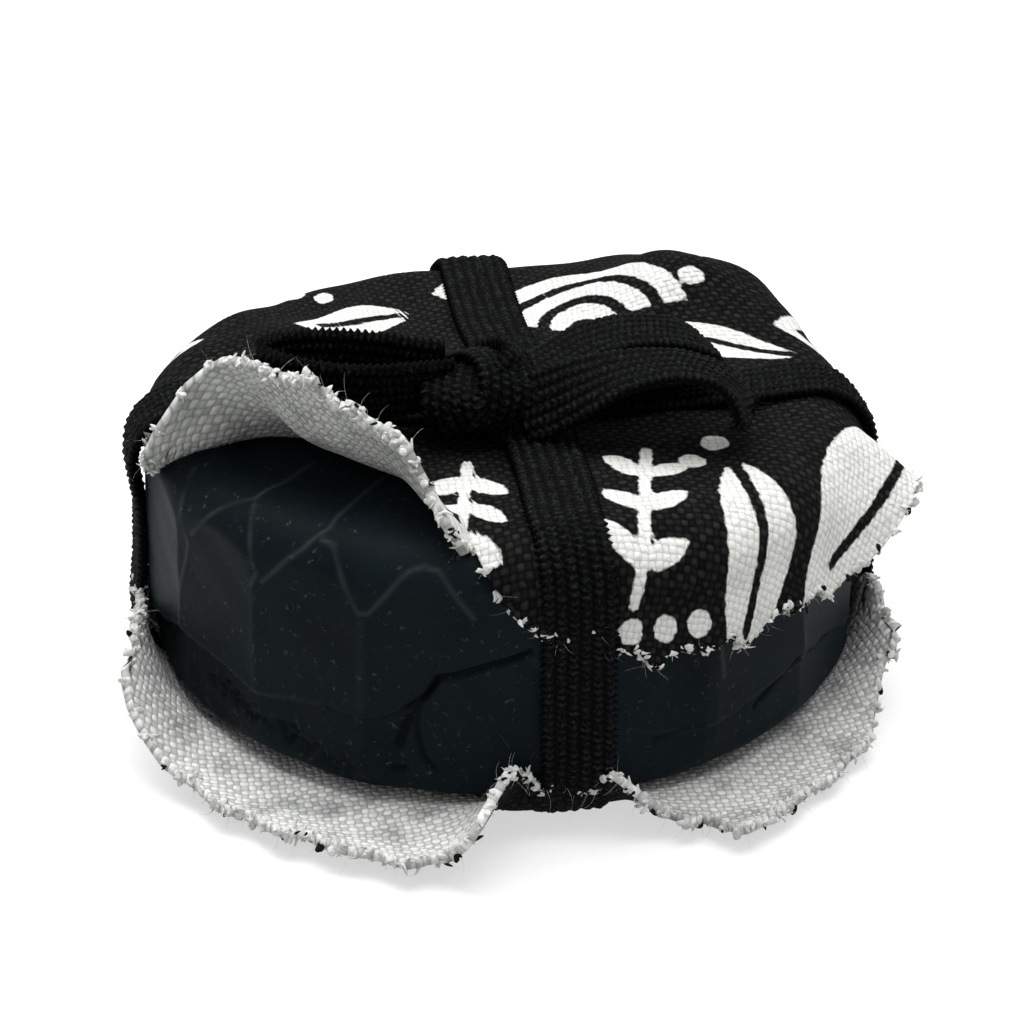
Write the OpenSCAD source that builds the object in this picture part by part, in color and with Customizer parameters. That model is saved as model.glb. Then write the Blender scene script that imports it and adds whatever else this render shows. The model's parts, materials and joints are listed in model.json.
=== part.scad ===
// Cake of bow rosin in a canvas strip, tied both ways with flat elastic and a bow.
// X runs to the right, Y to the back and Z up. The elastic under the base lies on Z = 0.

/* [Cake] */
// Width across the round cake
cake_d = 55; // [48:0.5:62]
// Thickness of the cake
cake_h = 20.8; // [18:0.2:25]
// Rounding of the lower edge
cake_low_r = 3.2; // [2.6:0.1:4.5]
// Rounding of the upper edge
cake_top_r = 4.5; // [3.5:0.1:6]
// How deep the deepest side facet is cut
facet_cut = 0.7; // [0.2:0.05:1.2]

/* [Cloth] */
// Thickness of the canvas
cloth_t = 0.7; // [0.5:0.05:0.9]
// Half the width of the strip at its base
base_half = 31; // [30:0.25:33]
// Width of the strip left of the middle, over the top
left_top = 29.8; // [28.5:0.1:31]
// Width of the strip right of the middle, over the top
right_top = 32; // [31:0.1:34]
// Radius of the bend over the upper edge
bend_r = 4.2; // [3.6:0.1:5]
// Length of the front flap from the middle of the top
flap_len = 35; // [32:0.5:38]
// Distance of the lobe fold from the middle
fold_dist = 25; // [24.5:0.1:26]
// Depth of the lower left lobe past its fold
left_lobe_len = 10.2; // [7:0.2:12]
// Depth of the lower right lobe past its fold
right_lobe_len = 9.6; // [7:0.2:12]

/* [Elastic] */
// Width of the flat elastic
band_w = 5.5; // [4.5:0.1:6.5]
// Thickness of the elastic
band_t = 0.8; // [0.7:0.05:1]
// Distance of the long strand to the right of the middle
long_off = 1.1; // [0:0.1:2]
// Distance of the cross strand in front of the middle
cross_off = 5; // [3:0.25:7]
// Turn of the cross strand towards the back, left of the knot
left_lead = 17; // [0:1:20]

/* [Bow] */
// Length of the left loop
left_loop_len = 13; // [11:0.25:15]
// Length of the right loop
right_loop_len = 15; // [12:0.25:16]
// Greatest width across a loop
loop_span = 6.4; // [5.4:0.1:7]
// Upward tilt of the left loop
left_rise = 10; // [0:1:14]
// Lean of the loops towards the front
loop_lean = 8; // [0:1:15]
// Height of the knot
knot_h = 5.4; // [4.6:0.1:6]
// Distance of the knot to the left of the middle
knot_off = 2; // [0:0.25:4]
// Length of the right tail
right_tail_len = 14.4; // [12:0.2:16]
// Height of the arch in the right tail
tail_rise = 2.6; // [1.5:0.1:3.5]
// Length of the left tail
left_tail_len = 11; // [8:0.25:13]

/* [Hidden] */
$fn = 96;
gap = 0.15;
clear = 0.4;
cake_r = cake_d / 2;
base_z = band_t + gap;
cake_z = base_z + cloth_t + gap;
top_z = cake_z + cake_h + gap;
wall_r = cake_r + gap;
bend_at = wall_r - bend_r;
low_bend = cake_low_r + gap;
ring_in = wall_r + cloth_t + clear;
front_in = wall_r + 0.25;
over_z = top_z + cloth_t + gap;
mid_s = bend_at + bend_r * PI / 2 + (top_z - base_z - cloth_t) / 2 - bend_r;
fold_ang = 38.2;
fold_z = base_z + cloth_t + 0.05;
knot_z = over_z + band_t - 0.1;
knot_x = -knot_off;
knot_y = -cross_off - 2.3;
knot_half = 1.5 + knot_h / 2;
loop_z = over_z + band_t + 0.75 + loop_span / 2 * sin(loop_lean);
left_x = knot_x - knot_half - clear;
right_x = knot_x + knot_half + clear;
shoe = band_w / 2;

// Smooth step from 0 at a to 1 at b
function ease(a, b, x) = let(t = max(0, min(1, (x - a) / (b - a)))) t * t * (3 - 2 * t);
// Point p of the four-point curve at t, for open lists of points
function at(p, i) = p[max(0, min(len(p) - 1, i))];
function bend4(a, b, c, d, t) = 0.5 * (2 * b + (c - a) * t + (2 * a - 5 * b + 4 * c - d) * t * t
    + (3 * b - a - 3 * c + d) * t * t * t);
function smooth_path(p, n) = [for (i = [0 : (len(p) - 1) * n])
    let(k = min(floor(i / n), len(p) - 2), t = i / n - k)
    bend4(at(p, k - 1), at(p, k), at(p, k + 1), at(p, k + 2), t)];
// Unit normal to the left of a path at point i
function side(p, i, closed) = let(n = len(p), a = closed ? p[(i + n - 1) % n] : at(p, i - 1),
    b = closed ? p[(i + 1) % n] : at(p, i + 1), d = (b - a) / norm(b - a)) [-d[1], d[0]];
function shifted(p, r, closed) = [for (i = [0 : len(p) - 1]) p[i] + r * side(p, i, closed)];
// Section of a loop round the parcel, with its lower and upper corners rounded
function corner(x, z, r, a) = [for (i = [0 : 8]) [x + r * cos(a + 11.25 * i), z + r * sin(a + 11.25 * i)]];
// Height of a strand that steps over another near the middle
function step_over(x) = (band_t + 0.05) * (1 - ease(shoe + 0.6, shoe + 3.6, abs(x - long_off)));
function flat_run(x, z, k) = [for (i = [-8 : 8]) [x * i / 8, z + k * step_over(x * i / 8)]];

// One open strip of elastic on edge: path in the plane, width along Z
module strip(path, width) {
    linear_extrude(height = width)
        polygon(concat(shifted(path, band_t / 2, false),
            [for (i = [len(path) - 1 : -1 : 0]) shifted(path, -band_t / 2, false)[i]]));
}

// One closed loop of elastic
module ring(path, width) {
    n = len(path);
    linear_extrude(height = width, center = true)
        polygon(concat(shifted(path, -band_t / 2, true), shifted(path, band_t / 2, true)),
            paths = [[for (i = [0 : n - 1]) i], [for (i = [0 : n - 1]) n + i]]);
}

// Droop of the cloth past the upper edge, by angle round the cake
droop_keys = [[0, 85], [90, 90], [180, 85], [185, 82], [190, 30], [195, 1], [200, -24], [206, -53],
    [213, -67], [220, -68], [228, -65], [236, -61], [242, -52], [246, -28], [249, 2], [252, 40], [256, 70],
    [262, 83], [270, 88], [290, 86], [302, 83], [318, 74], [328, 62], [335, 42], [340, 32], [345, 40],
    [350, 78], [355, 85], [360, 85]];
// Share of the plain bend distance where the cloth leaves the flat top
leave_keys = [[0, 1], [185, 1], [190, 0.97], [195, 0.81], [200, 0.7], [206, 0.61], [213, 0.585],
    [228, 0.585], [236, 0.615], [243, 0.69], [250, 0.83], [256, 0.96], [262, 1], [360, 1]];
// Bend radius of the cloth, as a multiple of the plain bend
soft_keys = [[0, 1], [185, 1], [190, 1.6], [195, 1.95], [200, 2.1], [220, 2.05], [228, 1.85], [236, 1.55],
    [243, 1.3], [250, 1.1], [258, 1], [360, 1]];
// Rise of the cloth past the lower edge
rise_keys = [[0, 82], [20, 88], [90, 90], [160, 88], [180, 82], [190, 76], [200, 40], [212, 10], [225, 3],
    [250, 3], [256, 8], [261, 45], [265, 80], [270, 84], [275, 80], [279, 45], [284, 8], [290, 3], [315, 3],
    [328, 10], [340, 40], [350, 76], [360, 82]];
// Front edge of the flap: share of the flap length, by distance from the middle of the strip
edge_keys = [[-31, 0.06], [-29.8, 0.12], [-28, 0.34], [-25, 0.45], [-20, 0.57], [-14.2, 0.67], [-11.4, 0.71],
    [-9.4, 0.71], [-7.5, 0.71], [-5.7, 0.79], [-2.75, 0.89], [0, 0.94], [5.3, 1.02], [12, 0.99], [17, 0.91],
    [24.2, 0.77], [28.5, 0.64], [31.3, 0.51], [34, 0.34]];

// Distance out and change of height at distance s along a sheet that bends by d degrees
function profile(s, a, b, d) = let(arc = b * abs(d) * PI / 180, k = sign(d), t = (s - a) / b * 180 / PI)
    s <= a ? [s, 0]
    : s <= a + arc ? [a + b * sin(t), k * b * (1 - cos(t))]
    : [a + b * sin(abs(d)) + (s - a - arc) * cos(d), k * (b * (1 - cos(d)) + (s - a - arc) * sin(abs(d)))];
function turn(y, u) = (atan2(y, u) + 360) % 360;
function reach(u, y) = y > 0 ? pow(pow(u, 4) + pow(y, 4), 0.25) : norm([u, y]);
function top_point(u, y) = let(f = turn(y, u), p = profile(reach(u, y), bend_at * lookup(f, leave_keys),
    bend_r * lookup(f, soft_keys), lookup(f, droop_keys))) [p[0] * cos(f), p[0] * sin(f), top_z - p[1]];
function base_point(u, y) = let(f = turn(y, u), p = profile(reach(u, y), wall_r - low_bend, low_bend,
    lookup(f, rise_keys))) [p[0] * cos(f), p[0] * sin(f), base_z + cloth_t + p[1]];
// Inner face of the strip: u across, v along it from the middle of the base, up the back and over the top
function cloth_point(u, v) = let(w = ease(mid_s - 12, mid_s + 12, v))
    (w < 1 ? (1 - w) * base_point(u, v) : [0, 0, 0]) + (w > 0 ? w * top_point(u, 2 * mid_s - v) : [0, 0, 0]);
function cloth_normal(u, v) = let(e = 0.4, n = cross(cloth_point(u, v + e) - cloth_point(u, v - e),
    cloth_point(u + e, v) - cloth_point(u - e, v))) n / norm(n);

// Flat places of the grid over the strip
across = [-1, -0.96, -0.91, -0.84, -0.75, -0.66, -0.57, -0.48, -0.42, -0.36, -0.29, -0.2, -0.08, 0.04, 0.17,
    0.31, 0.45, 0.59, 0.72, 0.83, 0.92, 1];
half_rows = [0.28, 0.52, 0.66, 0.74, 0.82, 0.91];
front_rows = [0.25, 0.42, 0.54, 0.62, 0.69, 0.75, 0.81, 0.87, 0.94, 1];
function top_at(c) = c < 0 ? left_top : right_top;
function half_at(c, v) = base_half + (top_at(c) - base_half) * ease(0.6 * mid_s, 1.6 * mid_s, v);
function fold_edge(u) = min(fold_dist / cos(fold_ang) - tan(fold_ang) * abs(u), wall_r + 0.8);
function front_at(u) = max(fold_edge(u), 5);
function flap_at(u) = flap_len * lookup(u, edge_keys);
function rows(c) = concat(
    [for (k = [1, 0.8, 0.5]) -front_at(c * base_half) * k], [0],
    [for (k = half_rows) mid_s * k], [mid_s],
    [for (i = [len(half_rows) - 1 : -1 : 0]) mid_s * (2 - half_rows[i])], [2 * mid_s],
    [for (k = front_rows) 2 * mid_s + flap_at(c * top_at(c)) * k]);

// Closed thin solid between two grids of points
module shell(inner, outer) {
    m = len(inner);
    n = len(inner[0]);
    pts = concat([for (row = inner) each row], [for (row = outer) each row]);
    o = m * n;
    polyhedron(points = pts, convexity = 6, faces = concat(
        [for (i = [0 : m - 2], j = [0 : n - 2]) [i * n + j, i * n + j + 1, (i + 1) * n + j + 1]],
        [for (i = [0 : m - 2], j = [0 : n - 2]) [i * n + j, (i + 1) * n + j + 1, (i + 1) * n + j]],
        [for (i = [0 : m - 2], j = [0 : n - 2]) [o + i * n + j, o + (i + 1) * n + j + 1, o + i * n + j + 1]],
        [for (i = [0 : m - 2], j = [0 : n - 2]) [o + i * n + j, o + (i + 1) * n + j, o + (i + 1) * n + j + 1]],
        [for (i = [0 : m - 2]) [i * n, (i + 1) * n, o + (i + 1) * n]],
        [for (i = [0 : m - 2]) [i * n, o + (i + 1) * n, o + i * n]],
        [for (i = [0 : m - 2]) [i * n + n - 1, o + (i + 1) * n + n - 1, (i + 1) * n + n - 1]],
        [for (i = [0 : m - 2]) [i * n + n - 1, o + i * n + n - 1, o + (i + 1) * n + n - 1]],
        [for (j = [0 : n - 2]) [j, o + j + 1, j + 1]],
        [for (j = [0 : n - 2]) [j, o + j, o + j + 1]],
        [for (j = [0 : n - 2]) [(m - 1) * n + j, (m - 1) * n + j + 1, o + (m - 1) * n + j + 1]],
        [for (j = [0 : n - 2]) [(m - 1) * n + j, o + (m - 1) * n + j + 1, o + (m - 1) * n + j]]));
}

// The cake: a turned puck with flat facets cut round its side
module rosin_cake() {
    color([0.06, 0.07, 0.09])
    difference() {
        translate([0, 0, cake_z])
        rotate_extrude()
            polygon(concat([[0, 0]],
                corner(cake_r - cake_low_r, cake_low_r, cake_low_r, 270),
                corner(cake_r - cake_top_r, cake_h - cake_top_r, cake_top_r, 0), [[0, cake_h]]));
        for (f = [[190, 0.6], [210, 0.6], [229.5, 0.58], [251, 0.85], [281, 1], [306, 0.6],
            [327, 0.65], [347, 0.5]])
            rotate([0, 0, f[0]])
                translate([cake_r - facet_cut * f[1], -cake_r, 0])
                    cube([cake_r, cake_d, 2 * cake_h]);
    }
}

// The canvas strip round the base, back, top and front flap
module cloth_wrap() {
    color([0.16, 0.16, 0.17])
    shell([for (c = across) [for (v = rows(c)) cloth_point(c * half_at(c, v), v)]],
        [for (c = across) [for (v = rows(c)) let(u = c * half_at(c, v))
            cloth_point(u, v) + cloth_t * cloth_normal(u, v)]]);
}

// One free lobe of the lower front edge; h is -1 for the left and 1 for the right
left_keys = [[-14, 0.72], [-10, 1], [-2, 1], [5, 0.84], [10, 0.55], [15, 0.12]];
right_keys = [[-14, 0.45], [-10, 1], [-6, 1], [2, 0.75], [9, 0.5], [15, 0.1]];
lobe_across = [-13.6, -11, -7, -3, 1, 5, 9, 12, 14.5];
lobe_out = [0, 0.2, 0.45, 0.7, 0.88, 1];
function lobe_reach(q, h) = h < 0 ? left_lobe_len * lookup(q, left_keys)
    : right_lobe_len * lookup(q, right_keys);
function lobe_point(q, k, h) = let(p = clear + lobe_reach(q, h) * k,
    z = -(base_z - gap) * ease(0.5, 6, p) + 1.1 * k * k * ease(0, 8, p))
    [h * (sin(fold_ang) * (fold_dist + p) + cos(fold_ang) * q),
    -cos(fold_ang) * (fold_dist + p) + sin(fold_ang) * q, base_z + z];
module lobe(h) {
    q = h < 0 ? lobe_across : [for (i = [len(lobe_across) - 1 : -1 : 0]) lobe_across[i]];
    shell([for (a = q) [for (k = lobe_out) lobe_point(a, k, h) + [0, 0, cloth_t]]],
        [for (a = q) [for (k = lobe_out) lobe_point(a, k, h)]]);
}

module front_left_lobe() {
    color([0.85, 0.85, 0.85]) lobe(-1);
}

module front_right_lobe() {
    color([0.85, 0.85, 0.85]) lobe(1);
}

// Elastic from front to back, flat on the table under the base
module long_band() {
    r = 5;
    back = ring_in + band_t / 2;
    front = front_in + band_t / 2;
    z1 = over_z + band_t / 2;
    color([0.05, 0.05, 0.055])
    translate([long_off, 0, 0])
    rotate([90, 0, 90])
        ring(concat(corner(back - r, band_t / 2 + r, r, 270), corner(back - r, z1 - r, r, 0),
            corner(r - front, z1 - r, r, 90), corner(r - front, band_t / 2 + r, r, 180)), band_w);
}

// Elastic from side to side, pressed into the other strand below and riding over it above
function led(path, y) = [for (p = path)
    [p[0], y - cross_off + max(0, knot_x - p[0]) * tan(left_lead), p[1]]];
module cross_band() {
    r = 5;
    h = ring_in + band_t / 2;
    z1 = over_z + band_t / 2;
    high = flat_run(h - r - 0.5, z1, 0.45);
    path = concat(corner(h - r, band_t / 2 + r, r, 270), corner(h - r, z1 - r, r, 0),
        [for (i = [16 : -1 : 0]) high[i]],
        corner(r - h, z1 - r, r, 90), corner(r - h, band_t / 2 + r, r, 180));
    n = len(path);
    inner = shifted(path, band_t / 2, true);
    outer = shifted(path, -band_t / 2, true);
    color([0.05, 0.05, 0.055])
    polyhedron(convexity = 6,
        points = concat(led(inner, -shoe), led(inner, shoe), led(outer, shoe), led(outer, -shoe)),
        faces = [for (i = [0 : n - 1], k = [0 : 3], t = [0, 1])
            let(j = (i + 1) % n, a = k * n, b = (k + 1) % 4 * n)
            t == 0 ? [a + i, b + j, a + j] : [a + i, b + i, b + j]]);
}

// Tight knot where the strands meet on top
module knot() {
    r = knot_h / 2;
    color([0.05, 0.05, 0.055])
    hull() {
        for (p = [[-1.5, 1], [1.5, 1.2], [-1.2, -1.3], [1.2, -1.5]])
            translate([knot_x + p[0], knot_y + p[1], knot_z + r])
                sphere(r = r, $fn = 20);
    }
}

// Loop of the bow: a drop-shaped turn of elastic on edge, its point at the origin and running along X
module bow_loop(length) {
    half = loop_span / 2 - band_t / 2;
    outline = [[0, 0.62], [length * 0.3, half * 0.86], [length * 0.62, half], [length * 0.9, half * 0.72],
        [length - band_t / 2, 0], [length * 0.9, -half * 0.72], [length * 0.62, -half],
        [length * 0.3, -half * 0.86], [0, -0.62]];
    rotate([loop_lean, 0, 0])
        strip(smooth_path(outline, 5), band_w);
}

module left_bow_loop() {
    color([0.05, 0.05, 0.055])
    translate([left_x, knot_y, loop_z + band_w])
        rotate([0, left_rise, -4])
            translate([0, 0, -band_w])
                mirror([1, 0, 0])
                    bow_loop(left_loop_len);
}

module right_bow_loop() {
    color([0.05, 0.05, 0.055])
    translate([right_x, knot_y + 1.2, loop_z])
        rotate([0, 0, 9])
            bow_loop(right_loop_len);
}

// Right cut end: arches over the cloth and comes down in front of the loop
module right_tail() {
    path = [[0, 0], [right_tail_len * 0.21, 0.62 * tail_rise], [right_tail_len * 0.49, tail_rise],
        [right_tail_len * 0.76, 0.75 * tail_rise], [right_tail_len * 0.94, -0.15 * tail_rise],
        [right_tail_len, -tail_rise]];
    color([0.05, 0.05, 0.055])
    translate([right_x, knot_y - 2.2, knot_z + knot_h / 2])
        rotate([0, 0, -9])
            rotate([90, 0, 0])
                strip(smooth_path(path, 5), band_w);
}

// Left cut end: lies on the cloth behind the loop
module left_tail() {
    path = [[0, 0], [-left_tail_len * 0.27, -0.12], [-left_tail_len * 0.55, -0.3], [-left_tail_len, -0.4]];
    color([0.05, 0.05, 0.055])
    translate([left_x, knot_y + 2.1 + band_w, over_z + band_t / 2 + 1.6])
        rotate([0, 0, -22])
            rotate([90, 0, 0])
                strip(smooth_path(path, 5), band_w);
}

rosin_cake();
cloth_wrap();
front_left_lobe();
front_right_lobe();
long_band();
cross_band();
knot();
left_bow_loop();
right_bow_loop();
right_tail();
left_tail();
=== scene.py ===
import json
import math
import random
import bpy
import numpy as np
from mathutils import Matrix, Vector

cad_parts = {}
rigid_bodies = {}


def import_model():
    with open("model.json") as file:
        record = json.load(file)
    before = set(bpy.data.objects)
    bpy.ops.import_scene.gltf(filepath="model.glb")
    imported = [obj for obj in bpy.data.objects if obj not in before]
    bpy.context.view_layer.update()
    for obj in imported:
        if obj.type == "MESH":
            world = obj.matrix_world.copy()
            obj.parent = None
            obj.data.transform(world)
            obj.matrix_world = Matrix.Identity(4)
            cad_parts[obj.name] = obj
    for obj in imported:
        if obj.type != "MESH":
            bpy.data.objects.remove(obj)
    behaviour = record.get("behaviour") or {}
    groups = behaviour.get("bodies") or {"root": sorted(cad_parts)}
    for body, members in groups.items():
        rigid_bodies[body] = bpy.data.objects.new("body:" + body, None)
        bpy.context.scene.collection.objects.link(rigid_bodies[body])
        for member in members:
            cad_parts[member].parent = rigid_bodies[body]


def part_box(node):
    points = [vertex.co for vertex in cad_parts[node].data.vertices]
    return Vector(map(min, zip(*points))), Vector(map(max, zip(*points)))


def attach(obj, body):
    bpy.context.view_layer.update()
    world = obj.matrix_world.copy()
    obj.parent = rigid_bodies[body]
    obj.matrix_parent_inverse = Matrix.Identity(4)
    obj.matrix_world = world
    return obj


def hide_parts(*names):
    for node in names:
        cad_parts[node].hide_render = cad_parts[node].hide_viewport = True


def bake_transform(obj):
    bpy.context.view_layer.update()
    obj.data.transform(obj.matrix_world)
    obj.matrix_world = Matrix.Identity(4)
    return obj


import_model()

bpy.ops.object.select_all(action="DESELECT")
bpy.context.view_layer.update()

# The photograph is taken from a little left of the open front, looking down at the
# parcel from about 0.3 m away with a long lens.
MM = 0.001
view_az, view_el, view_dist = math.radians(-9), math.radians(26), 290
look_at = Vector((0.27, 0, 13.5))
toward = Vector((math.sin(view_az) * math.cos(view_el), -math.cos(view_az) * math.cos(view_el), math.sin(view_el)))
bpy.ops.object.camera_add(location=(look_at + toward * view_dist) * MM)
camera = bpy.context.object
camera.rotation_euler = (-toward).to_track_quat("-Z", "Y").to_euler()
camera.data.sensor_width = 36
camera.data.lens = 132.3
camera.data.clip_start = 0.01
bpy.context.scene.camera = camera

# The bow's loops and cut ends are the last lengths of one flat elastic, knitted in lengthwise
# ribs with a bumpy edge. The left loop stands on edge and the others lie flat or lean; the knot
# holds all four.
ELASTIC_W, ELASTIC_T = 5.5, 0.8
COURSE, RIBS = 0.56, 6
RIB_HIGH, RIB_SUNK, STITCH_HIGH, UNEVEN, RELIEF = 0.22, 0.13, 0.12, 0.1, 0.8
EDGE_IN, EDGE_TOOTH = 0.985, 0.075
MESH_STEP, MESH_ACROSS = 0.14, 31


def smooth_line(points, closed, per=24):
    """A curve through the points, with per short steps from each point to the next."""
    p = np.array(points, float)
    n = len(p)
    t = (np.arange(per) / per)[:, None]
    out = []
    for i in range(n if closed else n - 1):
        a, b, c, d = [p[(i + k) % n] if closed else p[min(max(i + k, 0), n - 1)] for k in (-1, 0, 1, 2)]
        out.append(0.5 * (2 * b + (c - a) * t + (2 * a - 5 * b + 4 * c - d) * t**2 + (3 * b - a - 3 * c + d) * t**3))
    out.append(p[:1] if closed else p[-1:])
    return np.vstack(out)


def speckle(*keys):
    """A number from 0 to 1 that looks random and is always the same for the same keys."""
    v = np.zeros_like(keys[0], float)
    for k, m in zip(keys, (12.9898, 78.233, 37.719)):
        v = v + k * m
    v = np.sin(v) * 43758.5453
    return v - np.floor(v)


def unit(v):
    return v / np.linalg.norm(v, axis=-1, keepdims=True)


def new_mesh(name, verts, faces):
    """A smooth object from vertices in mm and faces."""
    mesh = bpy.data.meshes.new(name)
    mesh.from_pydata(np.asarray(verts, float) * MM, [], faces)
    mesh.validate()
    mesh.polygons.foreach_set("use_smooth", np.ones(len(mesh.polygons), bool))
    obj = bpy.data.objects.new(name, mesh)
    bpy.context.collection.objects.link(obj)
    return obj


def set_values(piece, name, values):
    """Keep one number for each vertex as an attribute that the material reads."""
    kept = piece.data.attributes.new(name, "FLOAT", "POINT")
    kept.data.foreach_set("value", values.astype(np.float32))


def set_flat(piece, uv, flat):
    """Write the flat coordinates of the vertices, in mm, to a UV map."""
    loops = np.zeros(len(piece.data.loops), int)
    piece.data.loops.foreach_get("vertex_index", loops)
    uv.data.foreach_set("uv", (flat[loops] / 100).ravel().astype(np.float32))


def pick(piece):
    """Make a piece the active object and the only one selected."""
    bpy.ops.object.select_all(action="DESELECT")
    bpy.context.view_layer.objects.active = piece
    piece.select_set(True)


def knit_band(points, across, closed=False, width=ELASTIC_W):
    """Vertices, faces, flat coordinates and stitch height of a knitted band along a line."""
    line = smooth_line(np.hstack([np.array(points, float), np.array(across, float)]), closed)
    seg = np.linalg.norm(np.diff(line[:, :3], axis=0), axis=1)
    s = np.concatenate([[0], np.cumsum(seg)])
    n = max(8, int(round(s[-1] / MESH_STEP)))
    at = np.linspace(0, s[-1], n + 1)
    if closed:
        at = at[:-1]
    q = np.stack([np.interp(at, s, line[:, k]) for k in range(6)], -1)
    c, w = q[:, :3], q[:, 3:]
    t = unit(np.roll(c, -1, 0) - np.roll(c, 1, 0) if closed else np.gradient(c, axis=0))
    w = unit(w - t * (w * t).sum(1)[:, None])
    nrm = np.cross(t, w)
    # A is the place across the band, S the distance along it, and D is 1 above and -1 below.
    a_top = np.linspace(-1, 1, MESH_ACROSS)
    a = np.concatenate([a_top, a_top[-2:0:-1]])
    A, S = np.meshgrid(a, at)
    D = np.broadcast_to(np.concatenate([np.ones(MESH_ACROSS), -np.ones(MESH_ACROSS - 2)]), A.shape)
    edge = np.abs(A)
    k = (A + 1) / 2 * RIBS
    rib = np.clip(np.floor(k), 0, RIBS - 1)
    f = k - rib - 0.5
    row = S / COURSE + 0.7 * np.abs(f) + 0.5 * (rib % 2) + 0.25 * speckle(rib, D)
    grain = speckle(np.floor(row), rib, D)
    uneven = UNEVEN * (grain - 0.5)
    stitch = (STITCH_HIGH + uneven) * np.cos(2 * np.pi * row) * (1 - (2 * f) ** 2 * 0.4)
    height = RIB_HIGH * (1 - (2 * f) ** 2) - RIB_SUNK + stitch + uneven
    half_t = ELASTIC_T / 2 * np.sqrt(np.clip(1 - edge**8, 0, 1))
    lift = D * (half_t + height * np.clip(1 - edge**12, 0, 1) * RELIEF)
    tooth = np.cos(2 * np.pi * S / COURSE + 0.6 * speckle(np.floor(S / COURSE), A * 0))
    reach = width / 2 * A * (EDGE_IN + EDGE_TOOTH * tooth * edge**8)
    pos = c[:, None, :] + w[:, None, :] * reach[..., None] + nrm[:, None, :] * lift[..., None]
    m, r = A.shape
    idx = np.arange(m * r).reshape(m, r)
    faces = []
    for i in range(m if closed else m - 1):
        x, y = idx[i], idx[(i + 1) % m]
        faces.append(np.stack([x, np.roll(x, -1), np.roll(y, -1), y], -1))
    faces = np.vstack(faces).tolist()
    if not closed:
        faces += [idx[0][::-1].tolist(), idx[-1].tolist()]
    flat = np.stack([S, A * width / 2], -1).reshape(-1, 2)
    return pos.reshape(-1, 3), faces, flat, height.ravel()


def elastic_piece(name, bands, solid):
    """One piece of elastic from one or more knitted bands, in place of its solid."""
    verts, faces, flats, heights, base = [], [], [], [], 0
    for v, band_faces, flat, height in bands:
        verts.append(v)
        flats.append(flat)
        heights.append(height)
        faces += [[i + base for i in face] for face in band_faces]
        base += len(v)
    obj = new_mesh(name, np.vstack(verts), faces)
    set_values(obj, "stitch", np.concatenate(heights))
    set_flat(obj, obj.data.uv_layers.new(name="flat"), np.vstack(flats))
    pick(obj)
    bpy.ops.object.mode_set(mode="EDIT")
    bpy.ops.mesh.select_all(action="SELECT")
    bpy.ops.mesh.normals_make_consistent(inside=False)
    bpy.ops.object.mode_set(mode="OBJECT")
    obj.select_set(False)
    obj.data.materials.append(elastic_mat)
    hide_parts(solid)
    return obj


def feed(tree, node, inputs):
    """Set each input of a node to a plain value, or link it to the output given for it."""
    for socket, value in inputs.items():
        if isinstance(value, bpy.types.NodeSocket):
            tree.links.new(value, node.inputs[socket])
        else:
            node.inputs[socket].default_value = value


def add_node(tree, kind, inputs, **settings):
    """A new shader node: its settings come first, because they can change its inputs."""
    made = tree.nodes.new("ShaderNode" + kind)
    for name, value in settings.items():
        setattr(made, name, value)
    feed(tree, made, inputs)
    return made


def material(name, surface):
    """A new material with plain values on its shader, its node tree and the shader."""
    mat = bpy.data.materials.new(name)
    mat.use_nodes = True
    shader = mat.node_tree.nodes["Principled BSDF"]
    feed(mat.node_tree, shader, surface)
    return mat, mat.node_tree, shader


def object_place(tree):
    return add_node(tree, "TexCoord", {}).outputs["Object"]


def attribute(tree, name):
    return add_node(tree, "Attribute", {}, attribute_name=name).outputs["Fac"]


def noise(tree, at, scale, detail, roughness=0.5, output="Fac"):
    inputs = {"Vector": at, "Scale": scale, "Detail": detail, "Roughness": roughness}
    return add_node(tree, "TexNoise", inputs).outputs[output]


def ranged(tree, value, low, high, to_low=0, to_high=1):
    inputs = {"Value": value, "From Min": low, "From Max": high, "To Min": to_low, "To Max": to_high}
    return add_node(tree, "MapRange", inputs).outputs["Result"]


def maths(tree, operation, *values):
    return add_node(tree, "Math", dict(enumerate(values)), operation=operation).outputs[0]


def ramp(tree, value, *stops):
    """Colour that goes from the first stop to the second; a stop is a position and a colour."""
    made = add_node(tree, "ValToRGB", {"Fac": value})
    for element, (position, colour) in zip(made.color_ramp.elements, stops):
        element.position = position
        element.color = colour
    return made.outputs["Color"]


def bumped(tree, height, strength, distance):
    return add_node(tree, "Bump", {"Height": height, "Strength": strength, "Distance": distance}).outputs["Normal"]


elastic_mat, tree, shader = material("black_elastic", {"Roughness": 0.7, "Specular IOR Level": 0.05})
fuzz = noise(tree, object_place(tree), 4200, 3)
# The stitch tops and the fine flecks on them are painted lighter as painted highlight, and the gaps between the
# stitches are painted near black as painted shade.
stitch_top_highlight_mask = ranged(tree, attribute(tree, "stitch"), -0.08, 0.26)
painted_stitch_highlight = maths(tree, "MULTIPLY", stitch_top_highlight_mask, ranged(tree, fuzz, 0.38, 0.7))
elastic_tone_and_highlight = ramp(tree, painted_stitch_highlight, (0.02, (0.0003, 0.0004, 0.0004, 1)), (0.9, (0.027, 0.030, 0.029, 1)))
feed(tree, shader, {"Base Color": elastic_tone_and_highlight, "Normal": bumped(tree, fuzz, 0.5, 0.00012)})


def box_mm(solid):
    """Lower and upper corner of a solid's box, in mm."""
    low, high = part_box(solid)
    return np.array(low) / MM, np.array(high) / MM


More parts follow.
